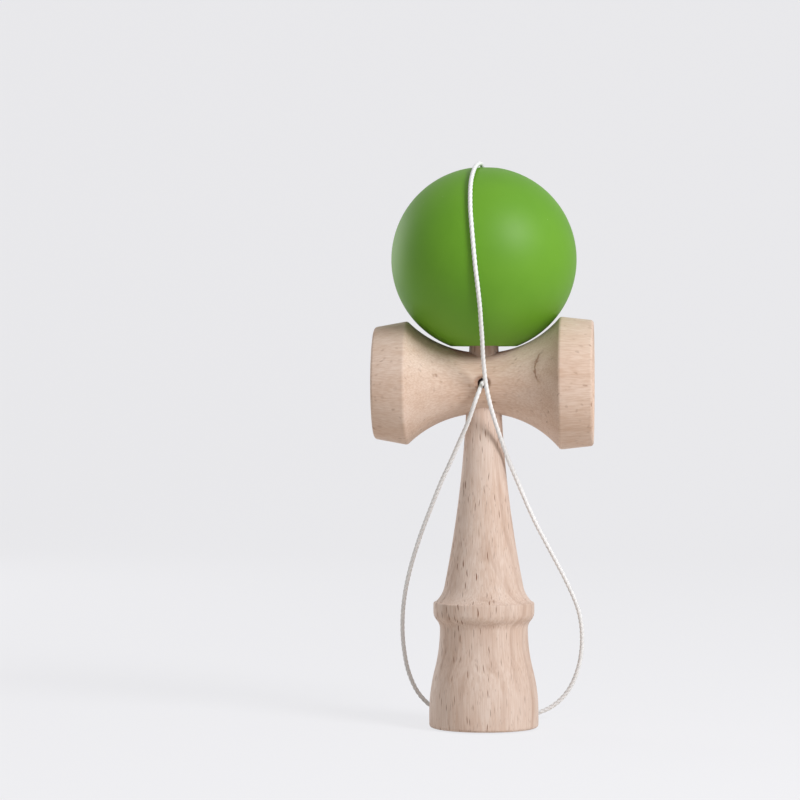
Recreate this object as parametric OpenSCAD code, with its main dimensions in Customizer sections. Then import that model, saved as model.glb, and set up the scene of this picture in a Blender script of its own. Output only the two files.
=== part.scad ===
// Kendama: a turned handle with a spike and a base dish, a cross-piece with two dishes,
// and a ball on a string. It stands on its base with the ball on the spike.
// Millimetres. Z is up along the handle, X runs along the cross-piece, the front faces -Y.

/* [Ken, the handle] */
// Height of the cross-piece's axis above the floor
sarado_z = 111.5; // [105:0.5:120]
// Diameter of the base
base_d = 35.4; // [33:0.2:38]
// Height of the straight band at the foot of the base
base_band_h = 5; // [3:0.5:7]
// Rounding of the base's outer edge
base_round = 1; // [0.6:0.1:1.4]
// Depth of the dish in the base
base_cup_depth = 7; // [6:0.5:9]
// Diameter of the neck between the base and the ring
neck_d = 28.5; // [26:0.5:31]
// Height of the narrowest place of the neck
neck_z = 32; // [28:0.5:34]
// Diameter of the ring
ring_d = 32.7; // [32:0.1:36]
// Height at which the ring's straight band starts
ring_z = 37.4; // [36:0.2:40]
// Height of the ring's straight band
ring_h = 3.2; // [2:0.2:5]
// Rounding of the ring's upper edge
ring_round = 0.6; // [0.3:0.1:1]
// Width of the flat on top of the ring
ring_flat = 0.3; // [0.2:0.1:0.6]
// Height of the flare between the ring and the grip
flare_h = 10; // [8:0.5:12]
// Height above the ring at which the grip's diameter is taken
grip_h = 5; // [4:0.5:7]
// Diameter of the grip at that height
grip_d = 25.6; // [23:0.2:28]
// Diameter of the handle under the cross-piece
seat_d = 11.6; // [11:0.1:13]
// Diameter of the spike at its rounded tip
tip_d = 6.4; // [5:0.2:8]
// How far the spike reaches into the ball, as a share of the ball's diameter
spike_reach_share = 0.563; // [0.48:0.001:0.6]

/* [Sarado, the cross-piece] */
// Length from rim to rim
sarado_l = 71; // [66:1:80]
// Diameter of the waist
waist_d = 19.6; // [18:0.2:22]
// Length of the band outside each ridge
cup_band_l = 10.7; // [9:0.1:13]
// Diameter of the large cup's ridge
big_ridge_d = 43; // [40:0.5:46]
// Diameter of the large cup's rim
big_rim_d = 40.6; // [38:0.2:43]
// Depth of the large cup
big_cup_depth = 10; // [8:0.5:12]
// Diameter of the small cup's ridge
small_ridge_d = 40.1; // [37:0.1:43]
// Diameter of the small cup's rim
small_rim_d = 36.2; // [34:0.2:39]
// Depth of the small cup
small_cup_depth = 9; // [7:0.5:11]
// Width of the flat lip round every cup
cup_lip = 2; // [1.5:0.1:3]

/* [Tama, the ball] */
// Diameter of the ball
ball_d = 60; // [56:0.5:63]
// Diameter of the spike hole at its mouth
mouth_d = 20.6; // [18:0.2:22]
// Diameter of the spike hole where its drill point starts
hole_end_d = 14; // [13:0.2:16]
// Height of the drill point at the hole's end
hole_point_h = 3.6; // [3:0.2:5]
// Diameter of the string hole through the ball's top
top_hole_d = 4; // [3.6:0.1:5]
// Diameter of the countersink of that hole
top_sink_d = 9; // [7:0.5:11]
// Depth of the countersink below its rim
top_sink_h = 2.4; // [1.5:0.1:3]

/* [String, bead and knots] */
// Diameter of the string
string_d = 1.5; // [1.2:0.1:1.8]
// Diameter of the bead in the ball
bead_d = 8; // [7:0.2:9]
// Diameter of the knots
knot_d = 4; // [3.5:0.1:4.5]
// Diameter of the string hole through the cross-piece and the handle
string_hole_d = 3.2; // [2.8:0.1:3.6]
// Diameter of that hole's countersink in the cross-piece
front_sink_d = 5.2; // [4.4:0.1:6]
// Depth of that countersink
front_sink_h = 1; // [0.6:0.1:1.4]

/* [Clearances] */
// Gap between the ball and what it sits on or turns on
run_gap = 0.3; // [0.2:0.05:0.5]
// Gap of the cross-piece's bore round the taper
fit_gap = 0.05; // [0.03:0.01:0.1]
// Gap between the spike's tip and the knot above it
tip_gap = 1.2; // [0.6:0.1:3]
// Room round a knot in its pocket
knot_room = 0.4; // [0.2:0.1:0.6]

/* [Hidden] */
$fn = 96;
// Facets of the long shallow arcs
arc_fn = 720;
// How far a cut runs past the face that it opens, and a stretch into the next one
over = 2;
// Angle by which the grip turns away from the taper at the seat
seat_turn = 1;
// How far an arc starts inside or outside the straight stretch that it leaves, so that they cross
arc_sink = 0.05;
// The two arcs of a swelling stretch, as shares of equal tangent arcs, so that they cross
cove_share = 1.1;
belly_share = 0.95;
belly_start_share = 0.4;
neck_band_share = 0.25;
beech = [0.83, 0.71, 0.60];
green = [0.40, 0.62, 0.15];
string_white = [0.93, 0.92, 0.89];

base_r = base_d / 2;
neck_r = neck_d / 2;
ring_r = ring_d / 2;
grip_r = grip_d / 2;
seat_r = seat_d / 2;
tip_r = tip_d / 2;
waist_r = waist_d / 2;
ball_r = ball_d / 2;
mouth_r = mouth_d / 2;
string_r = string_d / 2;
bead_r = bead_d / 2;
knot_r = knot_d / 2;

// Places along the handle
ring_top_z = ring_z + ring_h;
grip_z = ring_top_z + grip_h;
flare_z = ring_top_z + flare_h;
seat_z = sarado_z - waist_r;

// The saddle of the cross-piece, an arc from the waist to a ridge
ridge_x = sarado_l / 2 - cup_band_l;
function saddle_arc_r(ridge_d) =
    (pow(ridge_d / 2 - waist_r, 2) + pow(ridge_x, 2)) / (ridge_d - waist_d);
function saddle_r(x, ridge_d) =
    waist_r + saddle_arc_r(ridge_d) - sqrt(pow(saddle_arc_r(ridge_d), 2) - x * x);

// The ball sits on the saddle: the mouth's edge or the ridges stop it, whichever comes first
function ball_drop(x) = sqrt(max(0, ball_r * ball_r - x * x));
ball_rise = run_gap + max([for (x = [mouth_r, ridge_x])
    for (d = [big_ridge_d, small_ridge_d]) saddle_r(x, d) + ball_drop(x)]);
ball_z = sarado_z + ball_rise;
mouth_z = ball_z - ball_drop(mouth_r);

// From the spike's tip up: knot, bead and the end of the spike hole
spike_reach = spike_reach_share * ball_d;
tip_z = mouth_z + spike_reach;
bead_knot_z = tip_z + tip_gap + knot_r;
bead_z = bead_knot_z + knot_r + fit_gap + bead_r;
hole_end_r = hole_end_d / 2;
point_dr = hole_end_r - top_hole_d / 2;
point_l = norm([point_dr, hole_point_h]);
hole_end_z = bead_z - (hole_end_r * hole_point_h - (bead_r + run_gap) * point_l) / point_dr;

// The taper that carries the cross-piece runs on as the spike
taper_h = tip_z - tip_r - seat_z;
taper_angle = atan((seat_r - tip_r) / taper_h);
function taper_r(z) = seat_r - (z - seat_z) * tan(taper_angle);

// The pocket for the handle's knot, open to the back
pocket_d = knot_d + 2 * knot_room;
ken_knot_y = taper_r(sarado_z) - knot_room - knot_r;
pocket_floor_y = ken_knot_y - knot_r - fit_gap;

// The string's line, chosen by hand: out of the front hole, down to the left, round behind the base
// on the floor, up to the right and past the hole, over the front of the ball and into its top
route = [
    [0, -6.8, 111.5], [0, -9, 111.5], [-0.2, -11.1, 110.9], [-0.7, -12.6, 109.4], [-1.5, -13.1, 107.3],
    [-2.4, -12.7, 104.9], [-3.6, -11.2, 101.6], [-5.2, -8.8, 97.6], [-7.6, -5.8, 92.6], [-10.5, -2.6, 86.4],
    [-14.1, 1, 79], [-17.9, 5, 70], [-21.5, 9, 61], [-24.9, 13, 50.6], [-27.1, 16.4, 41], [-28, 19.2, 32],
    [-27.7, 21.6, 23.4], [-26.2, 23.6, 15.2], [-22.9, 25.2, 8], [-17.4, 26.2, 3], [-9.4, 26.6, 1.2],
    [-1.4, 26.6, 0.9], [6.6, 26.6, 0.9], [14.6, 26.4, 1.4], [21.7, 25.8, 4.4], [27.1, 24.4, 10.2],
    [30.4, 22, 18.6], [31.4, 19, 28], [30.2, 15.8, 37], [26.4, 12, 46.6], [21.4, 8, 56.6], [16.2, 3.6, 67],
    [11.6, -0.6, 78], [7.8, -4.2, 87.6], [5.2, -7.8, 95.6], [3.4, -10.6, 101.6], [2.2, -12.6, 106.6],
    [1.3, -13.6, 111.5],
    [0.9, -15.2, 115.6], [0.6, -17.8, 120.6], [0.5, -20.8, 125.6], [0.3, -23.8, 130.6],
    [0.1, -26.8, 135.6], [-0.4, -29.5, 141.6], [-1.2, -30.9, 149], [-2.1, -30.1, 158.6],
    [-2.9, -26.6, 167.2], [-3.1, -20.6, 174.8], [-2.5, -13, 179.8], [-1.6, -6.8, 181.9], [-1, -4, 182.3],
    [-0.5, -2.1, 181.7], [-0.1, -0.7, 180.2], [0, 0, 178.2], [0, 0, 176.2]
];
route_end = len(route) - 1;
// The point where the string passes the front hole again
route_pass = 37;
string_sides = 8;
// Spacing of the tube's rings, in string diameters
ring_step_share = 3.4;
ring_step = ring_step_share * string_d;

// The grip, a concave arc from the seat down to the grip's diameter and on into the ring
seat = [seat_r, seat_z];
grip_way = [cos(taper_angle + seat_turn), sin(taper_angle + seat_turn)];
grip_run = [grip_r, grip_z] - seat;
grip_arc_r = (grip_run * grip_run) / (2 * grip_run * grip_way);
grip_centre = seat + grip_arc_r * grip_way;
function grip_at(z) = grip_centre.x - sqrt(pow(grip_arc_r, 2) - pow(z - grip_centre.y, 2));

// The flare, a concave arc that starts inside the grip and ends on the ring's flat
flare_r = grip_at(flare_z) - 2 * arc_sink;
flare_out = ring_r - ring_round - ring_flat - flare_r;
flare_arc_r = (pow(flare_out, 2) + pow(flare_h, 2)) / (2 * flare_out);

// A stretch of the outline between two heights with an arc taken out of it
module hollow_stretch(wide_r, low_z, high_z, centre, arc_r) {
    difference() {
        translate([0, low_z]) square([wide_r, high_z - low_z]);
        translate(centre) circle(arc_r, $fn = arc_fn);
    }
}

// A stretch that swells from a narrow radius at the height z to a wide one at wide_z, by two arcs,
// and runs on past wide_z
module swell(narrow_r, z, broad_r, wide_z, run_on) {
    r = narrow_r - arc_sink;
    wide_r = broad_r + arc_sink;
    rise = abs(wide_z - z);
    angle = 2 * atan((wide_r - r) / rise);
    arc_r = rise / (2 * sin(angle));
    cove_r = cove_share * arc_r;
    belly_r = belly_share * arc_r;
    belly_z = belly_start_share * rise;
    belly_h = rise + run_on - belly_z;
    translate([0, z]) mirror([0, wide_z < z ? 1 : 0]) {
        hollow_stretch(wide_r, 0, rise / 2, [r + cove_r, 0], cove_r);
        intersection() {
            translate([0, belly_z]) square([wide_r, belly_h]);
            union() {
                if (belly_r < wide_r) translate([0, belly_z]) square([wide_r - belly_r, belly_h]);
                translate([wide_r - belly_r, rise]) circle(belly_r, $fn = arc_fn);
            }
        }
    }
}

// A band from the height z up, with one edge rounded: the upper one, or the lower one
module band(r, z, h, round_r, upper) {
    round_z = upper ? z + h - round_r : z + round_r;
    translate([0, z]) square([r - round_r, h]);
    translate([0, upper ? z : z + round_r]) square([r, h - round_r]);
    translate([r - round_r, round_z]) circle(round_r);
}

// The hollow of a cup: its rim's radius and depth give the ball-shaped dish
function dish_r(rim_r, depth) = (rim_r * rim_r + depth * depth) / (2 * depth);
module dish(rim_r, depth) {
    r = dish_r(rim_r, depth);
    translate([0, depth - r]) circle(r, $fn = arc_fn);
}

module ken_outline() {
    tip_base_z = tip_z - tip_r;
    neck_low_z = neck_z - neck_band_share * (neck_z - base_band_h);
    neck_high_z = neck_z + neck_band_share * (ring_z - neck_z);
    translate([0, tip_base_z]) intersection() {
        circle(tip_r);
        square(tip_r);
    }
    polygon([[0, ring_z], [taper_r(ring_z), ring_z], [tip_r, tip_base_z], [0, tip_base_z]]);
    hollow_stretch(ring_r, ring_z, seat_z + over, grip_centre, grip_arc_r);
    hollow_stretch(ring_r - ring_round, ring_z, flare_z, [flare_r + flare_arc_r, flare_z], flare_arc_r);
    band(ring_r, ring_z, ring_h, ring_round, true);
    swell(neck_r, neck_z, ring_r, ring_z, ring_h / 2);
    translate([0, neck_low_z]) square([neck_r, neck_high_z - neck_low_z]);
    swell(neck_r, neck_z, base_r, base_band_h, base_band_h - base_round);
    band(base_r, 0, base_band_h, base_round, false);
}

module ken() {
    color(beech) difference() {
        rotate_extrude() difference() {
            ken_outline();
            dish(base_r - base_round - cup_lip, base_cup_depth);
        }
        // String hole from the front, and the knot's pocket from the back
        translate([0, pocket_floor_y + knot_room, sarado_z]) rotate([90, 0, 0])
            cylinder(d = string_hole_d, h = seat_d);
        translate([0, pocket_floor_y, sarado_z]) rotate([-90, 0, 0]) cylinder(d = pocket_d, h = seat_d);
    }
}

module cup_half(ridge_d, rim_d, depth) {
    arc_r = saddle_arc_r(ridge_d);
    end_x = sarado_l / 2;
    // The band's cone runs on to the middle, and the saddle's arc cuts it off at the ridge
    cone_r = ridge_d / 2 + (ridge_d - rim_d) / 2 * ridge_x / cup_band_l;
    difference() {
        polygon([[0, 0], [cone_r, 0], [rim_d / 2, end_x], [0, end_x]]);
        translate([waist_r + arc_r, 0]) circle(arc_r, $fn = arc_fn);
        translate([0, end_x]) mirror([0, 1]) dish(rim_d / 2 - cup_lip, depth);
    }
}

module sarado() {
    bore_z = waist_r + over;
    color(beech) translate([0, 0, sarado_z]) difference() {
        rotate([0, 90, 0]) rotate_extrude() {
            cup_half(big_ridge_d, big_rim_d, big_cup_depth);
            mirror([0, 1]) cup_half(small_ridge_d, small_rim_d, small_cup_depth);
        }
        // Tapered bore for the handle
        translate([0, 0, -bore_z]) cylinder(r1 = taper_r(sarado_z - bore_z) + fit_gap,
                                            r2 = taper_r(sarado_z + bore_z) + fit_gap, h = 2 * bore_z);
        // String hole in the front, with its countersink
        rotate([90, 0, 0]) cylinder(d = string_hole_d, h = waist_r + over);
        translate([0, front_sink_h - waist_r, 0]) rotate([90, 0, 0])
            cylinder(d1 = string_hole_d, h = front_sink_h + over,
                     d2 = string_hole_d + (front_sink_d - string_hole_d) * (1 + over / front_sink_h));
    }
}

// The holes of the ball: the spike hole with its drill point, the string hole and its countersink
module tama_hole() {
    top_r = top_hole_d / 2;
    low_z = ball_z - ball_r - over;
    low_r = mouth_r + (mouth_r - hole_end_r) * (mouth_z - low_z) / (hole_end_z - mouth_z);
    sink_z = ball_z + ball_drop(top_sink_d / 2) - top_sink_h;
    high_z = ball_z + ball_r + over;
    high_r = top_r + (top_sink_d / 2 - top_r) * (high_z - sink_z) / top_sink_h;
    polygon([[0, low_z], [low_r, low_z], [hole_end_r, hole_end_z], [top_r, hole_end_z + hole_point_h],
             [top_r, sink_z], [high_r, high_z], [0, high_z]]);
}

module tama() {
    color(green) difference() {
        translate([0, 0, ball_z]) sphere(d = ball_d);
        rotate_extrude() tama_hole();
    }
}

module bead() {
    color(beech) translate([0, 0, bead_z]) difference() {
        sphere(d = bead_d);
        cylinder(d = string_d + 2 * run_gap, h = bead_d + over, center = true);
    }
}

module bead_knot() {
    color(string_white) translate([0, 0, bead_knot_z]) sphere(d = knot_d);
}

module ken_knot() {
    color(string_white) translate([0, ken_knot_y, sarado_z]) sphere(d = knot_d);
}

module string_in_ken() {
    color(string_white) translate([0, ken_knot_y, sarado_z]) rotate([90, 0, 0])
        cylinder(d = string_d, h = ken_knot_y - route[0].y);
}

module string_in_ball() {
    color(string_white) translate([0, 0, bead_knot_z])
        cylinder(d = string_d, h = route[route_end].z - bead_knot_z);
}

// A smooth curve through the route's points, and its direction, at the share t of span i
function route_at(i) = i < 0 ? 2 * route[0] - route[1]
    : i > route_end ? 2 * route[route_end] - route[route_end - 1] : route[i];
function spline(a, b, c, d, t) =
    (2 * b + (c - a) * t + (2 * a - 5 * b + 4 * c - d) * t * t + (3 * b - a - 3 * c + d) * t * t * t) / 2;
function spline_way(a, b, c, d, t) =
    (c - a) + 2 * (2 * a - 5 * b + 4 * c - d) * t + 3 * (3 * b - a - 3 * c + d) * t * t;
function unit(v) = v / norm(v);
function span_rings(i) = max(1, round(norm(route[i + 1] - route[i]) / ring_step));
function stops(first, last) = concat(
    [for (i = [first : last - 1]) for (k = [0 : span_rings(i) - 1]) [i, k / span_rings(i)]],
    [[last - 1, 1]]);
function centre(s) = spline(route_at(s.x - 1), route_at(s.x), route_at(s.x + 1), route_at(s.x + 2), s.y);
function way(s) =
    unit(spline_way(route_at(s.x - 1), route_at(s.x), route_at(s.x + 1), route_at(s.x + 2), s.y));
// Sideways directions that turn as little as they can along the line
function level(v, w) = unit(v - (v * w) * w);
function sides(ways, i = 0, v = [1, 0, 0]) =
    i == len(ways) ? [] : let (n = level(v, ways[i])) concat([n], sides(ways, i + 1, n));

module string_tube(first, last) {
    line = stops(first, last);
    ways = [for (s = line) way(s)];
    side = sides(ways);
    n = string_sides;
    rings = len(line);
    points = [for (i = [0 : rings - 1]) for (k = [0 : n - 1])
        let (a = 360 * k / n)
        centre(line[i]) + string_r * (cos(a) * side[i] + sin(a) * cross(ways[i], side[i]))];
    walls = [for (i = [0 : rings - 2]) for (k = [0 : n - 1])
        let (a = i * n + k, b = i * n + (k + 1) % n)
        each [[a, a + n, b + n], [a, b + n, b]]];
    start_cap = [for (k = [1 : n - 2]) [0, k, k + 1]];
    end_cap = [for (k = [1 : n - 2]) let (a = (rings - 1) * n) [a, a + k + 1, a + k]];
    polyhedron(points, concat(walls, start_cap, end_cap));
}

module string_loop() {
    color(string_white) string_tube(0, route_pass);
}

module string_rise() {
    color(string_white) string_tube(route_pass, route_end);
}

ken();
sarado();
tama();
bead();
bead_knot();
ken_knot();
string_in_ken();
string_loop();
string_rise();
string_in_ball();
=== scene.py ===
import math

import bmesh
import bpy
from mathutils import Matrix, Vector


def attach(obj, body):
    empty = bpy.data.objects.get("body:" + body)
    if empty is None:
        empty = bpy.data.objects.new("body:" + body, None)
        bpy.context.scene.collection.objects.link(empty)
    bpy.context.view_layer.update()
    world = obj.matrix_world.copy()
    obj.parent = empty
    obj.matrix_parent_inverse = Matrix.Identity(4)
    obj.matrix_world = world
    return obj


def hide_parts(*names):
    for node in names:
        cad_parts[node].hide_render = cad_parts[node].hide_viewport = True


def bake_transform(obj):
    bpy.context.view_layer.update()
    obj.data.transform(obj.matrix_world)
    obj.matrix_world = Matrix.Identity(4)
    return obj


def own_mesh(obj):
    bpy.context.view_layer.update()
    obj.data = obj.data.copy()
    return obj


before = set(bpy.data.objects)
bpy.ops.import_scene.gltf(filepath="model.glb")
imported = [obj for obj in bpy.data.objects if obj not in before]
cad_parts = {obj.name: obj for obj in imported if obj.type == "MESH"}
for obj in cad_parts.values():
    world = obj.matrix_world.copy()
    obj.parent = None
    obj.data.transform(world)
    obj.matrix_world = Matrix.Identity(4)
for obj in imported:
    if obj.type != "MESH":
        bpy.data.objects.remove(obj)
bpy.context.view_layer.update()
bpy.context.scene.view_settings.view_transform = "Standard"

# Ken
# The handle, turned from one blank of pale beech: a dished base, a neck, a ring for the fingers and
# a grip that runs out into the taper and the spike. Sanded fine and thinly sealed.
mm = 0.001
tip_r, tip_z = 3.2, 157.075
seat_r, seat_z = 5.8, 101.7
grip_r, grip_z = 12.8, 45.6
flare_r, ring_r = 15.7, 16.35
ring_top_z, ring_z = 40.6, 37.4
neck_r, neck_z = 14.25, 32
base_r, base_band_z = 17.7, 5
base_cup_r, base_cup_z = 14.7, 7
ring_round, base_round, lip_round = 0.55, 1, 0.4
taper_lean = math.atan((seat_r - tip_r) / (tip_z - tip_r - seat_z))
sharp = math.radians(40)


def cut(bm, last, r, z):
    """A straight cut of the outline to the radius r at the height z."""
    end = bm.verts.new((r * mm, 0, z * mm))
    bm.edges.new((last, end))
    return end


def gouge(bm, last, r, z, lean, steps):
    """A round cut to the radius r and the height z that leaves at a lean, an angle from straight down.
    Gives its end and the lean there."""
    way = Vector((r * mm, 0, z * mm)) - last.co
    out = Vector((math.cos(lean), 0, math.sin(lean)))
    centre = last.co + out * (way.length_squared / (2 * way.dot(out)))
    end_lean = 2 * math.atan2(way.x, -way.z) - lean
    end_lean += 2 * math.pi * round((lean - end_lean) / (2 * math.pi))
    turned = bmesh.ops.spin(bm, geom=[last], cent=centre, axis=(0, -1, 0), angle=end_lean - lean,
                            steps=steps)
    return turned["geom_last"][0], end_lean


def ogee(bm, last, r, z, steps):
    """Two round cuts that meet halfway to r and z. It leaves straight down and arrives so."""
    half, lean = gouge(bm, last, (last.co.x / mm + r) / 2, (last.co.z / mm + z) / 2, 0, steps)
    end, _ = gouge(bm, half, r, z, lean, steps)
    return end


def dish(bm, lip, z, steps):
    """A round cut from a lip to the axis, where it arrives level at the height z."""
    lean = 2 * math.atan2(-lip.co.x, lip.co.z - z * mm) + math.pi / 2
    gouge(bm, lip, 0, z, lean, steps)


def ease(bm, corner, radius):
    """Sands a corner of the outline round."""
    bmesh.ops.bevel(bm, geom=[corner], offset=radius * mm, offset_type="OFFSET", segments=6, profile=0.5,
                    affect="VERTICES", material=-1)


def turn(bm, steps):
    """Turns the outline about the lathe's axis, +Z, into a closed skin that faces outwards."""
    bmesh.ops.spin(bm, geom=bm.verts[:] + bm.edges[:], cent=(0, 0, 0), axis=(0, 0, 1), angle=2 * math.pi,
                   steps=steps, use_merge=True)
    bmesh.ops.remove_doubles(bm, verts=bm.verts, dist=1e-7)
    bmesh.ops.recalc_face_normals(bm, faces=bm.faces)


def piece(bm, name):
    """The finished mesh as an object, smooth but for its sharp edges."""
    mesh = bpy.data.meshes.new(name)
    bm.to_mesh(mesh)
    bm.free()
    mesh.shade_smooth()
    mesh.set_sharp_from_angle(angle=sharp)
    made = bpy.data.objects.new(name, mesh)
    bpy.context.scene.collection.objects.link(made)
    return made


def bit(name, length, radius, end_radius, pose):
    """A drill bit: a cone along its own +Z from the origin, put in place by a matrix."""
    bm = bmesh.new()
    bmesh.ops.create_cone(bm, cap_ends=True, segments=64, radius1=radius * mm, radius2=end_radius * mm,
                          depth=length * mm)
    bmesh.ops.translate(bm, vec=(0, 0, length * mm / 2), verts=bm.verts)
    bmesh.ops.transform(bm, matrix=pose, verts=bm.verts)
    return piece(bm, name)


def drill(wood, bits):
    """Takes the drill bits' shapes out of a piece."""
    for cutter in bits:
        hole = wood.modifiers.new("hole", "BOOLEAN")
        hole.operation, hole.solver, hole.object = "DIFFERENCE", "EXACT", cutter
    drilled = wood.evaluated_get(bpy.context.evaluated_depsgraph_get())
    mesh = bpy.data.meshes.new_from_object(drilled)
    wood.modifiers.clear()
    wood.data = mesh
    mesh.set_sharp_from_angle(angle=sharp)
    for cutter in bits:
        bpy.data.objects.remove(cutter)


bm = bmesh.new()
tip = bm.verts.new((0, 0, tip_z * mm))
at, _ = gouge(bm, tip, tip_r, tip_z - tip_r, math.pi / 2, steps=12)
at = cut(bm, at, seat_r, seat_z)
at, lean = gouge(bm, at, grip_r, grip_z, taper_lean, steps=40)
at, _ = gouge(bm, at, flare_r, ring_top_z, lean, steps=10)
ring_edge = cut(bm, at, ring_r, ring_top_z)
at = cut(bm, ring_edge, ring_r, ring_z)
at = ogee(bm, at, neck_r, neck_z, steps=8)
at = ogee(bm, at, base_r, base_band_z, steps=14)
base_edge = cut(bm, at, base_r, 0)
cup_edge = cut(bm, base_edge, base_cup_r, 0)
dish(bm, cup_edge, base_cup_z, steps=28)
ease(bm, ring_edge, ring_round)
ease(bm, base_edge, base_round)
ease(bm, cup_edge, lip_round)
turn(bm, steps=144)
ken = piece(bm, "ken_turned")

hole_z, hole_r, hole_back_y = 111.5, 1.6, 1.3
pocket_r, pocket_floor_y = 2.4, 0.86
bit_l = 12
to_front = Matrix.Rotation(math.pi / 2, 4, "X")
to_back = Matrix.Rotation(-math.pi / 2, 4, "X")


def on_hole(y):
    """A place on the axis of the string hole."""
    return Matrix.Translation((0, y * mm, hole_z * mm))


drill(ken, [bit("string_bit", bit_l, hole_r, hole_r, on_hole(hole_back_y) @ to_front),
            bit("knot_bit", bit_l, pocket_r, pocket_r, on_hole(pocket_floor_y) @ to_back)])


def colour(r, g, b):
    """A colour as a screen shows it, from 0 to 255, for a socket."""
    shares = [c / 255 for c in (r, g, b)]
    return (*[c / 12.92 if c < 0.04045 else ((c + 0.055) / 1.055) ** 2.4 for c in shares], 1)


class Tone:
    """A value, colour or vector in a finish, so that sums of them are written as sums."""

    def __init__(self, tree, socket=None):
        self.tree, self.socket = tree, socket

    def node(self, kind, settings=None, inputs=None, out=0):
        """Adds a node, and gives one of its outputs."""
        made = self.tree.nodes.new(kind)
        for key, value in (settings or {}).items():
            setattr(made, key, value)
        for key, value in (inputs or {}).items():
            if isinstance(value, Tone):
                value.feed(made.inputs[key])
            else:
                made.inputs[key].default_value = value
        return Tone(self.tree, made.outputs[out])

    def feed(self, socket):
        self.tree.links.new(self.socket, socket)

    def maths(self, operation, other=0.0):
        return self.node("ShaderNodeMath", {"operation": operation}, {0: self, 1: other})

    def __add__(self, other):
        return self.maths("ADD", other)

    def __sub__(self, other):
        return self.maths("SUBTRACT", other)

    def __rsub__(self, other):
        return self.node("ShaderNodeMath", {"operation": "SUBTRACT"}, {0: other, 1: self})

    def __mul__(self, other):
        return self.maths("MULTIPLY", other)

    def __truediv__(self, other):
        return self.maths("DIVIDE", other)

    def __pow__(self, other):
        return self.maths("POWER", other)

    __radd__, __rmul__ = __add__, __mul__

    def step(self, low, high):
        """0 at low and below, 1 at high and above, smooth between."""
        return self.node("ShaderNodeMapRange", {"interpolation_type": "SMOOTHSTEP"},
                         {"Value": self, "From Min": low, "From Max": high})

    def tint(self, base, over):
        """The base colour, with the other one laid over it by this much."""
        return self.node("ShaderNodeMix", {"data_type": "RGBA"}, {0: self, 6: base, 7: over}, out=2)

    def times(self, x, y, z):
        """This vector, stretched along each axis."""
        return self.node("ShaderNodeVectorMath", {"operation": "MULTIPLY"}, {0: self, 1: (x, y, z)})

    def parts(self):
        """A vector's three numbers."""
        split = self.node("ShaderNodeSeparateXYZ", {}, {0: self}).socket.node
        return [Tone(self.tree, split.outputs[i]) for i in range(3)]

    def joined(self, y, z):
        """A vector of this number and two more."""
        return self.node("ShaderNodeCombineXYZ", {}, {0: self, 1: y, 2: z})

    def noise(self, scale, detail=2.0):
        return self.node("ShaderNodeTexNoise", {}, {"Vector": self, "Scale": scale, "Detail": detail})

    def cells(self):
        """Distance to the nearest of points strewn one to a unit cube, and that point's chance."""
        near = self.node("ShaderNodeTexVoronoi", {}, {"Vector": self, "Scale": 1.0})
        tag = Tone(self.tree, near.socket.node.outputs[1])
        return near, tag.node("ShaderNodeSeparateColor", {}, {0: tag})

    def bump(self, strength, deep):
        """This height as a relief on the surface."""
        return self.node("ShaderNodeBump", {}, {"Strength": strength, "Distance": deep, "Height": self})


def finish(name):
    """An empty finish: its nodes' start, and the surface that takes them."""
    made = bpy.data.materials.new(name)
    made.use_nodes = True
    return made, Tone(made.node_tree), made.node_tree.nodes["Principled BSDF"].inputs


def beech(name, shift, tilt, pale, late, brown, ring_show, ray_gap, ray_length, ray_width, ray_depth,
          crowd, stain_and_shade=None):
    """Beech as a solid block, in millimetres, its heart along +Z once the piece is tilted and shifted.
    The growth rings lie round the heart. The rays run out from it, and a face cuts them into flecks:
    crowd gives how thick these lie at a spot. The last argument lays real dark marks and painted shade
    over the wood."""
    ring_gap, ring_sway = 3.4, 5
    pore_gap, pore_length, pore_depth = 0.45, 2.4, 4
    ring_tone = [0.45 * dark + 0.55 * light for dark, light in zip(brown, late)]
    made, start, surface = finish(name)
    place = start.node("ShaderNodeTexCoord", out=3)
    spot = place.times(1 / mm, 1 / mm, 1 / mm)
    grain = place.node("ShaderNodeMapping", {}, {0: place, "Location": shift, "Rotation": tilt,
                                                 "Scale": (1 / mm, 1 / mm, 1 / mm)})
    x, y, z = grain.parts()
    sway = grain.times(1, 1, 0.3).noise(0.06) - 0.5
    radius = (x * x + y * y) ** 0.5 + sway * ring_sway
    around = y.maths("ARCTAN2", x) * math.hypot(shift[0], shift[1])
    ring = (radius / ring_gap).maths("FRACT")
    rings = ring.step(0.5, 0.92) * (1 - ring.step(0.92, 1))
    fibre = grain.times(1, 1, 0.04).noise(2.4, 3)
    cloud = grain.times(1, 1, 0.22).noise(0.11, 3)
    slant = grain.times(1, 1, 0.6).noise(0.22) - 0.5
    dash, chance = (around / ray_gap + slant * 2.2).joined(radius / ray_depth, z / ray_length).cells()
    flecks = (1 - dash.step(0.12, ray_width)) * chance.step(0.1, 0.9) * crowd(spot)
    dot, odds = (around / pore_gap + slant * 3).joined(radius / pore_depth, z / pore_length).cells()
    pores = (1 - dot.step(0.1, 0.3)) * odds.step(0.3, 0.9)
    wood = (cloud.step(0.3, 0.72) * 0.5 + fibre.step(0.32, 0.68) * 0.5).tint(colour(*pale), colour(*late))
    wood = (rings * cloud.step(0.4, 0.62) * ring_show).tint(wood, colour(*ring_tone))
    wood = (pores * 0.28).tint(wood, colour(*brown))
    wood = (flecks * 0.85).tint(wood, colour(*brown))
    # Real stains and painted shade, laid over the wood last
    if stain_and_shade:
        wood = stain_and_shade(spot).tint(wood, colour(*brown))
    wood.feed(surface["Base Color"])
    rough = 0.5 + fibre * 0.16 + flecks * 0.1
    rough.feed(surface["Roughness"])
    relief = fibre * 0.6 - flecks * 0.8 - pores * 0.5
    relief.bump(0.4, 0.06 * mm).feed(surface["Normal"])
    surface["Specular IOR Level"].default_value = 0.3
    return made


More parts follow.
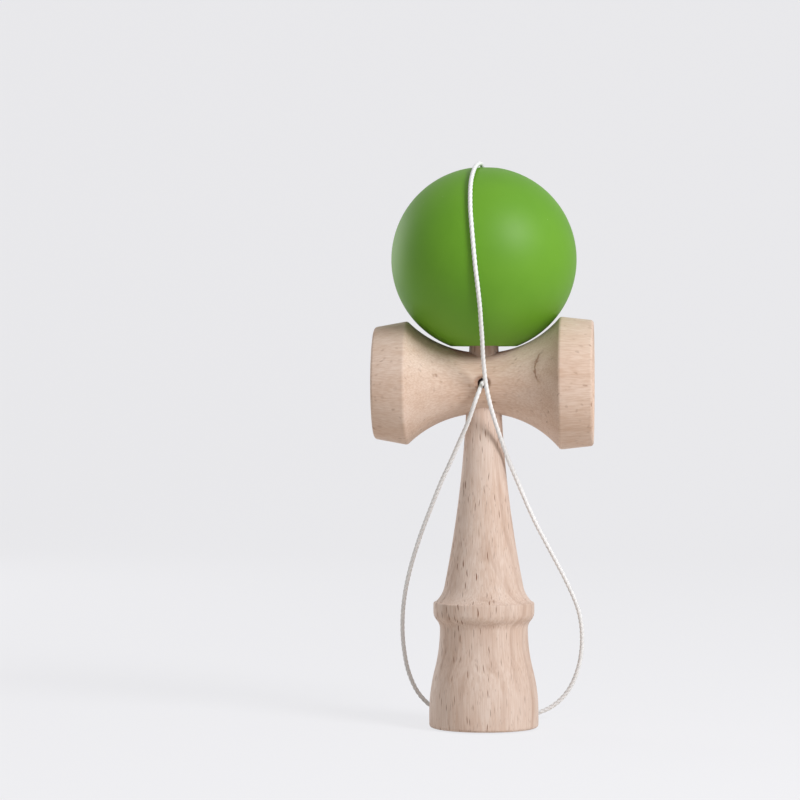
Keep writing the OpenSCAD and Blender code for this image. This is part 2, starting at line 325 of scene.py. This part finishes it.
def ken_crowd(spot):
    """The ken's flecks lie thickest down the left of its front, and few to the right."""
    x, _, _ = spot.parts()
    drift = spot.times(1, 1, 0.35).noise(0.1)
    left = 1 - (x + drift * 12 - 6).step(0, 12)
    return left * drift.step(0.2, 0.4) * 0.85 + drift.step(0.35, 0.6) * 0.45


ken.data.materials.append(beech(
    "ken_beech", shift=(0, -40, 0), tilt=(0.05, 0.02, 0), pale=(229, 212, 202), late=(206, 179, 162),
    brown=(130, 89, 66), ring_show=0.36, ray_gap=0.5, ray_length=6, ray_width=0.32, ray_depth=2.6,
    crowd=ken_crowd))
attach(ken, "ken")
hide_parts("ken")

# Sarado
# The cross-piece, turned from beech with its grain along it: a large and a small cup, each with a
# coned band outside its ridge, and a hollow waist. It is bored through and pushed on the taper.
waist_r, ridge_x, rim_x = 9.8, 24.8, 35.5
big_ridge_r, big_rim_r, big_lip_r, big_cup_x = 21.5, 20.3, 18.3, 25.5
small_ridge_r, small_rim_r, small_lip_r, small_cup_x = 20.05, 18.1, 16.1, 26.5
rim_round, ridge_round = 0.9, 0.6
bm = bmesh.new()
big_cup = bm.verts.new((0, 0, big_cup_x * mm))
big_lip, _ = gouge(bm, big_cup, big_lip_r, rim_x, math.pi / 2, steps=28)
big_rim = cut(bm, big_lip, big_rim_r, rim_x)
big_ridge = cut(bm, big_rim, big_ridge_r, ridge_x)
saddle_lean = 2 * math.atan2(waist_r - big_ridge_r, ridge_x)
waist, _ = gouge(bm, big_ridge, waist_r, 0, saddle_lean, steps=30)
small_ridge, _ = gouge(bm, waist, small_ridge_r, -ridge_x, 0, steps=30)
small_rim = cut(bm, small_ridge, small_rim_r, -rim_x)
small_lip = cut(bm, small_rim, small_lip_r, -rim_x)
dish(bm, small_lip, -small_cup_x, steps=28)
for corner, radius in ((big_lip, lip_round), (big_rim, rim_round), (big_ridge, ridge_round),
                       (small_ridge, ridge_round), (small_rim, rim_round), (small_lip, lip_round)):
    ease(bm, corner, radius)
turn(bm, steps=160)
bmesh.ops.rotate(bm, cent=(0, 0, 0), matrix=Matrix.Rotation(math.pi / 2, 3, "Y"), verts=bm.verts)
bmesh.ops.translate(bm, vec=(0, 0, hole_z * mm), verts=bm.verts)
sarado = piece(bm, "sarado_turned")

bore_half, bore_gap = 12, 0.06
sink_y, sink_l, sink_r = -8.8, 3, 4.6


def bore_at(z):
    """The radius of the bore at a height: the ken's taper and a thin gap."""
    return seat_r - (z - seat_z) * math.tan(taper_lean) + bore_gap


bore_low, bore_high = hole_z - bore_half, hole_z + bore_half
drill(sarado, [bit("taper_bit", 2 * bore_half, bore_at(bore_low), bore_at(bore_high),
                   Matrix.Translation((0, 0, bore_low * mm))),
               bit("string_bit", bit_l, hole_r, hole_r, on_hole(0) @ to_front),
               bit("sink_bit", sink_l, hole_r, sink_r, on_hole(sink_y) @ to_front)])


def sarado_crowd(spot):
    """The sarado's flecks come and go."""
    return spot.times(0.5, 1, 1).noise(0.12).step(0.36, 0.6) * 0.65


def sarado_stain_and_shade(spot):
    """A thin dark streak that bends down the front of the large cup's side, and painted shade round the
    string hole.
    """
    streak_x, streak_rise, streak_curve = 17, 4.5, 0.07
    x, y, z = spot.parts()
    rise = z - hole_z
    front = 1 - y.step(-6, -3)
    ragged = spot.noise(0.8, 3) - 0.5
    past = rise - streak_rise
    off = (x - (past * past * streak_curve + streak_x) + ragged * 1.6).maths("ABSOLUTE")
    lengthwise = rise.step(-0.5, 2) * (1 - rise.step(8, 11.5)) * front
    streak = ((1 - off.step(0.05, 0.5)) * 0.55 + (1 - off.step(0.3, 2.4)) * 0.2) * lengthwise
    # Painted shade: the countersink round the string hole is darkened, as if its hollow lay in shade
    from_hole = (x * x + rise * rise) ** 0.5 + ragged * 0.8
    painted_hole_shade = (1 - from_hole.step(2, 3.4)) * front * 0.5
    return streak.maths("MAXIMUM", painted_hole_shade)


sarado.data.materials.append(beech(
    "sarado_beech", shift=(6, -46, 40), tilt=(0.06, -math.pi / 2, 0), pale=(229, 209, 196),
    late=(206, 176, 155), brown=(138, 96, 70), ring_show=0.12, ray_gap=0.52, ray_length=4.2,
    ray_width=0.24, ray_depth=4, crowd=sarado_crowd, stain_and_shade=sarado_stain_and_shade))
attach(sarado, "ken")
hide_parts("sarado")

# String
# White twisted string of three strands, 1.5 mm thick with about 39 cm free, knotted in the ken. It leaves
# by the hole in the sarado, hangs round behind the base, comes back up past the hole and over the ball.
ken_route = [(0, 2.91, 111.5), (0, -2, 111.5)]
loop_route = [(0, -6.8, 111.5), (0, -9, 111.5), (-0.2, -11.1, 110.9), (-0.7, -12.6, 109.4),
              (-1.5, -13.1, 107.3), (-2.4, -12.7, 104.9), (-3.6, -11.2, 101.6), (-5.2, -8.8, 97.6),
              (-7.6, -5.8, 92.6), (-10.5, -2.6, 86.4), (-14.1, 1, 79), (-17.9, 5, 70), (-21.5, 9, 61),
              (-24.9, 13, 50.6), (-27.1, 16.4, 41), (-28, 19.2, 32), (-27.7, 21.6, 23.4),
              (-26.2, 23.6, 15.2), (-22.9, 25.2, 8), (-17.4, 26.2, 3), (-9.4, 26.6, 1.2), (-1.4, 26.6, 0.9),
              (6.6, 26.6, 0.9), (14.6, 26.4, 1.4), (21.7, 25.8, 4.4), (27.1, 24.4, 10.2), (30.4, 22, 18.6),
              (31.4, 19, 28), (30.2, 15.8, 37), (26.4, 12, 46.6), (21.4, 8, 56.6), (16.2, 3.6, 67),
              (11.6, -0.6, 78), (7.8, -4.2, 87.6), (5.2, -7.8, 95.6), (3.4, -10.6, 101.6),
              (2.2, -12.6, 106.6)]
rise_route = [(1.3, -13.6, 111.5), (0.9, -15.2, 115.6), (0.6, -17.8, 120.6), (0.5, -20.8, 125.6),
              (0.3, -23.8, 130.6), (0.1, -26.8, 135.6), (-0.4, -29.5, 141.6), (-1.2, -30.9, 149),
              (-2.1, -30.1, 158.6), (-2.9, -26.6, 167.2), (-3.1, -20.6, 174.8), (-2.5, -13, 179.8),
              (-1.6, -6.8, 181.9), (-1, -4, 182.3), (-0.5, -2.1, 181.7), (-0.1, -0.7, 180.2), (0, 0, 178.2)]
ball_route = [(0, 0, 176.2), (0, 0, 168), (0, 0, 160.275)]
string_r, lay_length, lay_step = 0.75 * mm, 5.2 * mm, 0.45 * mm
strand_count, groove = 3, 0.08


def along(a, b, c, d, t):
    """The smooth line from b to c, with their neighbours a and d, at the share t."""
    bend, sway = 2 * a - 5 * b + 4 * c - d, 3 * b - a - 3 * c + d
    return (2 * b + (c - a) * t + bend * t * t + sway * t ** 3) / 2


line = [Vector(point) * mm for point in ken_route + loop_route + rise_route + ball_route]
led = [2 * line[0] - line[1], *line, 2 * line[-1] - line[-2]]
centres, marks = [], []
for i in range(len(line) - 1):
    marks.append(len(centres))
    steps = max(1, round((line[i + 1] - line[i]).length / lay_step))
    centres += [along(*led[i:i + 4], k / steps) for k in range(steps)]
marks.append(len(centres))
centres.append(line[-1])
leaves_ken = marks[len(ken_route)]
passes_hole = marks[len(ken_route + loop_route)]
enters_ball = marks[len(ken_route + loop_route + rise_route)]


def rail(dots, closed=False):
    """A frame at each dot of a line, its +Z along the line, that turns as little as it can."""
    places, across, last = [], Vector((1, 0, 0)), len(dots) - 1
    for i, dot in enumerate(dots):
        before = dots[i - 1 if closed else max(i - 1, 0)]
        after = dots[(i + 1) % len(dots) if closed else min(i + 1, last)]
        ahead = (after - before).normalized()
        across = (across - across.dot(ahead) * ahead).normalized()
        axes = Matrix((across, ahead.cross(across), ahead)).transposed().to_4x4()
        places.append(Matrix.Translation(dot) @ axes)
    return places


# The frames turn on with the lay of the strands
poses, run = [], 0.0
for i, place in enumerate(rail(centres)):
    run += (centres[i] - centres[i - 1]).length if i else 0
    poses.append(place @ Matrix.Rotation(2 * math.pi * run / lay_length, 4, "Z"))

cotton, start, surface = finish("string_cotton")
thread = start.node("ShaderNodeAttribute", {"attribute_name": "lay"}, out=1)
hair = thread.times(5, 5, 0.35).noise(1.0, 3)
white = hair.step(0.3, 0.75).tint(colour(250, 252, 255), colour(236, 238, 242))
white.feed(surface["Base Color"])
hair.bump(0.4, 0.06 * mm).feed(surface["Normal"])
surface["Roughness"].default_value = 0.85
surface["Specular IOR Level"].default_value = 0.2
surface["Sheen Weight"].default_value = 0.2


def strand(name, places):
    """Draws the twisted section along a row of places, and keeps where each point lies round and along."""
    bm = bmesh.new()
    lay = bm.verts.layers.float_vector.new("lay")
    ring = bmesh.ops.create_circle(bm, segments=6 * strand_count, radius=string_r)["verts"]
    for v in ring:
        v[lay] = v.co / string_r
        v.co *= 1 - groove + groove * math.cos(strand_count * math.atan2(v.co.y, v.co.x))
    edges = list({e for v in ring for e in v.link_edges})
    bmesh.ops.transform(bm, matrix=places[0], verts=ring)
    bmesh.ops.contextual_create(bm, geom=edges)
    for before, after in zip(places, places[1:]):
        drawn = bmesh.ops.extrude_edge_only(bm, edges=edges)["geom"]
        edges = [g for g in drawn if isinstance(g, bmesh.types.BMEdge)
                 and all(v in drawn for v in g.verts) and len(g.link_faces) == 1]
        ring = list({v for e in edges for v in e.verts})
        bmesh.ops.transform(bm, matrix=after @ before.inverted(), verts=ring)
        for v in ring:
            v[lay].z += (after.translation - before.translation).length / string_r
    bmesh.ops.contextual_create(bm, geom=edges)
    bmesh.ops.recalc_face_normals(bm, faces=bm.faces)
    made = piece(bm, name)
    made.data.materials.append(cotton)
    return made


in_ken = strand("string_through_ken", poses[:leaves_ken + 1])
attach(in_ken, "ken")
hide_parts("string_in_ken")
loop = strand("string_behind", poses[leaves_ken:passes_hole + 1])
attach(loop, "ken")
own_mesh(loop)
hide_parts("string_loop")
rise = strand("string_over_ball", poses[passes_hole:enters_ball + 1])
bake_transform(rise)
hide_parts("string_rise")
in_ball = strand("string_through_ball", poses[enters_ball:])
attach(in_ball, "bead")
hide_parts("string_in_ball")

# Bead and knots
# A small bead, turned from darker wood and threaded on the string inside the ball. It stops the knot
# under it from slipping out of the top hole. The other knot sits in a pocket of the handle.
bead_z, bead_r, bead_hole_r, bead_round = 166.325, 4.0, 1.05, 0.2
bead_half = math.sqrt(bead_r ** 2 - bead_hole_r ** 2)
bm = bmesh.new()
top = bm.verts.new((bead_hole_r * mm, 0, (bead_z + bead_half) * mm))
lean = math.pi / 2 - math.asin(bead_hole_r / bead_r)
bottom, _ = gouge(bm, top, bead_hole_r, bead_z - bead_half, lean, steps=40)
bm.edges.new((bottom, top))
for corner in (top, bottom):
    ease(bm, corner, bead_round)
turn(bm, steps=64)
bead = piece(bm, "bead_turned")


def even_crowd(spot):
    """Flecks that lie about as thick everywhere."""
    return spot.noise(0.15)


bead.data.materials.append(beech(
    "bead_wood", shift=(11, -30, 0), tilt=(0, 0, 0), pale=(208, 180, 148), late=(184, 148, 114),
    brown=(112, 78, 54), ring_show=0.4, ray_gap=0.7, ray_length=4, ray_width=0.2, ray_depth=11,
    crowd=even_crowd))
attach(bead, "bead")
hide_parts("bead")

knot_r, knot_steps, knot_pull = 0.42 * mm, 120, 0.95


def knot(name, pose):
    """An overhand knot pulled tight: the string's section drawn round a trefoil."""
    dots = []
    for i in range(knot_steps):
        a = 2 * math.pi * i / knot_steps
        dots.append(knot_r * Vector((math.sin(a) + 2 * math.sin(2 * a), math.cos(a) - 2 * math.cos(2 * a),
                                     -math.sin(3 * a))))
    places = [pose @ place @ Matrix.Scale(knot_pull, 4) for place in rail(dots, closed=True)]
    return strand(name, [*places, places[0]])


bead_knot = knot("bead_knot_tied", Matrix.Translation(line[-1]))
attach(bead_knot, "bead")
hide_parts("bead_knot")
ken_knot = knot("ken_knot_tied", Matrix.Translation(line[0]) @ to_front)
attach(ken_knot, "ken")
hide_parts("ken_knot")

# Tama
# The ball, turned from wood, bored for the spike and drilled through for the string, and sprayed
# with satin leaf-green paint that stops at the mouth of the spike hole.
ball_z, ball_r = 151.472, 30.0
mouth_r, mouth_round = 10.3, 0.5
hole_end_r, hole_end_z, hole_point_h = 7, 166.584, 3.6
top_hole_r, sink_rim_r, sink_deep = 2, 4.5, 2.4
sink_rim_round, sink_round = 0.7, 0.5
mouth_z = ball_z - math.sqrt(ball_r ** 2 - mouth_r ** 2)
sink_rim_z = ball_z + math.sqrt(ball_r ** 2 - sink_rim_r ** 2)
bm = bmesh.new()
sink_rim = bm.verts.new((sink_rim_r * mm, 0, sink_rim_z * mm))
lean = math.pi / 2 - math.asin(sink_rim_r / ball_r)
mouth, _ = gouge(bm, sink_rim, mouth_r, mouth_z, lean, steps=96)
at = cut(bm, mouth, hole_end_r, hole_end_z)
at = cut(bm, at, top_hole_r, hole_end_z + hole_point_h)
sink = cut(bm, at, top_hole_r, sink_rim_z - sink_deep)
bm.edges.new((sink, sink_rim))
ease(bm, sink_rim, sink_rim_round)
ease(bm, sink, sink_round)
ease(bm, mouth, mouth_round)
turn(bm, steps=160)
tama = piece(bm, "tama_painted")

paint, start, surface = finish("leaf_green_paint")
place = start.node("ShaderNodeTexCoord", out=3)
mist = place.noise(38, 3)
peel = place.noise(1500)
speck, chance = place.times(330, 330, 330).cells()
dust = (1 - speck.step(0.03, 0.06)) * chance.step(0.8, 0.9)
green = mist.step(0.3, 0.7).tint(colour(94, 151, 22), colour(102, 158, 30))
green = (dust * 0.5).tint(green, colour(190, 216, 150))
green.feed(surface["Base Color"])
rough = 0.5 + mist * 0.06
rough.feed(surface["Roughness"])
relief = peel + dust * 1.5
relief.bump(0.12, 0.04 * mm).feed(surface["Normal"])
surface["Specular IOR Level"].default_value = 0.42
tama.data.materials.append(paint)
tama.data.materials.append(beech(
    "spike_hole_wood", shift=(9, -44, 0), tilt=(0.1, 0, 0), pale=(206, 180, 154), late=(186, 153, 124),
    brown=(120, 86, 62), ring_show=0.3, ray_gap=0.8, ray_length=5, ray_width=0.2, ray_depth=11,
    crowd=even_crowd))

# Bare wood starts a little inside the mouth and ends just under the countersink
bare_r, bare_low, bare_high = mouth_r - 0.3, mouth_z + 0.4, sink_rim_z - 2.6
for face in tama.data.polygons:
    middle = face.center / mm
    bare = math.hypot(middle.x, middle.y) < bare_r and bare_low < middle.z < bare_high
    face.material_index = 1 if bare else 0
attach(tama, "tama")
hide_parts("tama")

# Floor
# A pale seamless sheet of paper that runs back from under the kendama and bends up behind it. To the
# eye it is mostly an even glow, and the rest of it takes the shadow.
half_width, front_y, floor_z = 3, -2.6, -0.0004
bend_y, bend_r, wall_h = 1, 0.8, 1.5
bm = bmesh.new()
front = bm.edges.new([bm.verts.new((x, front_y, floor_z)) for x in (-half_width, half_width)])
flat = bmesh.ops.extrude_edge_only(bm, edges=[front])["geom"]
corner = [g for g in flat if isinstance(g, bmesh.types.BMVert)]
fold = [g for g in flat if isinstance(g, bmesh.types.BMEdge) and all(v in corner for v in g.verts)]
bmesh.ops.translate(bm, vec=(0, bend_y - front_y, 0), verts=corner)
bend = bmesh.ops.spin(bm, geom=corner + fold, cent=(0, bend_y, bend_r), axis=(1, 0, 0), angle=math.pi / 2,
                      steps=24)
last = [g for g in bend["geom_last"] if isinstance(g, bmesh.types.BMEdge)]
wall = bmesh.ops.extrude_edge_only(bm, edges=last)["geom"]
bmesh.ops.translate(bm, vec=(0, 0, wall_h), verts=[g for g in wall if isinstance(g, bmesh.types.BMVert)])
bmesh.ops.recalc_face_normals(bm, faces=bm.faces)
floor = piece(bm, "floor_sheet")


def seen_by_eye(start):
    """1 for a ray that shows the surface, straight, in a gloss or through glass, and 0 for light alone."""
    path = start.node("ShaderNodeLightPath")
    seen = path
    for way in ("Is Glossy Ray", "Is Transmission Ray"):
        seen = seen.maths("MAXIMUM", Tone(path.tree, path.socket.node.outputs[way]))
    return seen


sheet, start, surface = finish("floor_paper")
seen = seen_by_eye(start)
paper = seen.tint(colour(231, 224, 217), colour(224, 224, 228))
paper.feed(surface["Base Color"])
surface["Roughness"].default_value = 0.9
surface["Specular IOR Level"].default_value = 0.0
glow = start.node("ShaderNodeEmission", {}, {"Color": colour(247, 247, 250), "Strength": 1.0})
skin = Tone(sheet.node_tree, sheet.node_tree.nodes["Principled BSDF"].outputs[0])
mixed = start.node("ShaderNodeMixShader", {}, {0: seen * 0.8, 1: skin, 2: glow})
mixed.feed(sheet.node_tree.nodes["Material Output"].inputs[0])
floor.data.materials.append(sheet)

# Light
# Soft studio light: a round soft box at the front right and above, a weaker one low behind on the left
# for the rim, and an even pale room round them.
room_light = (0.36, 0.354, 0.344, 1)
room = bpy.data.worlds.new("pale_room")
bpy.context.scene.world = room
room.use_nodes = True
walls = seen_by_eye(Tone(room.node_tree)).tint(room_light, colour(236, 235, 239))
walls.feed(room.node_tree.nodes["Background"].inputs[0])

lamp_away, lamp_aim = 1.0, Vector((0, 0, 0.11))


def soft_box(name, direction, size, power, tint):
    """A round lamp that faces the kendama from a direction and isn't seen itself."""
    lamp = bpy.data.lights.new(name, "AREA")
    lamp.shape, lamp.size, lamp.energy, lamp.color = "DISK", size, power, tint
    made = bpy.data.objects.new(name, lamp)
    towards = Vector(direction).normalized()
    made.location = lamp_aim + towards * lamp_away
    made.rotation_mode = "QUATERNION"
    made.rotation_quaternion = towards.to_track_quat("Z", "Y")
    made.visible_camera = False
    bpy.context.scene.collection.objects.link(made)


soft_box("key_box", direction=(0.62, -0.58, 0.52), size=0.38, power=7.6, tint=(1.0, 0.99, 0.985))
soft_box("rim_box", direction=(-0.74, 0.62, 0.16), size=0.6, power=2.2, tint=(1.0, 1.0, 1.0))

# Camera
# A metre off, level with the sarado and a little to its right. It aims to the left of the kendama, which
# so stands right of the middle of the picture.
away, aside, height = 1.0, math.radians(3), 0.112
aim_left, aim_height = 0.0272, 0.106
lens = bpy.data.cameras.new("camera")
lens.sensor_width, lens.lens = 36, 138.8
lens.clip_end = 50
camera = bpy.data.objects.new("camera", lens)
camera.location = (away * math.sin(aside), -away * math.cos(aside), height)
camera.rotation_euler = (math.pi / 2 - math.atan2(height - aim_height, away), 0,
                         aside + math.atan2(aim_left, away))
bpy.context.scene.collection.objects.link(camera)
bpy.context.scene.camera = camera
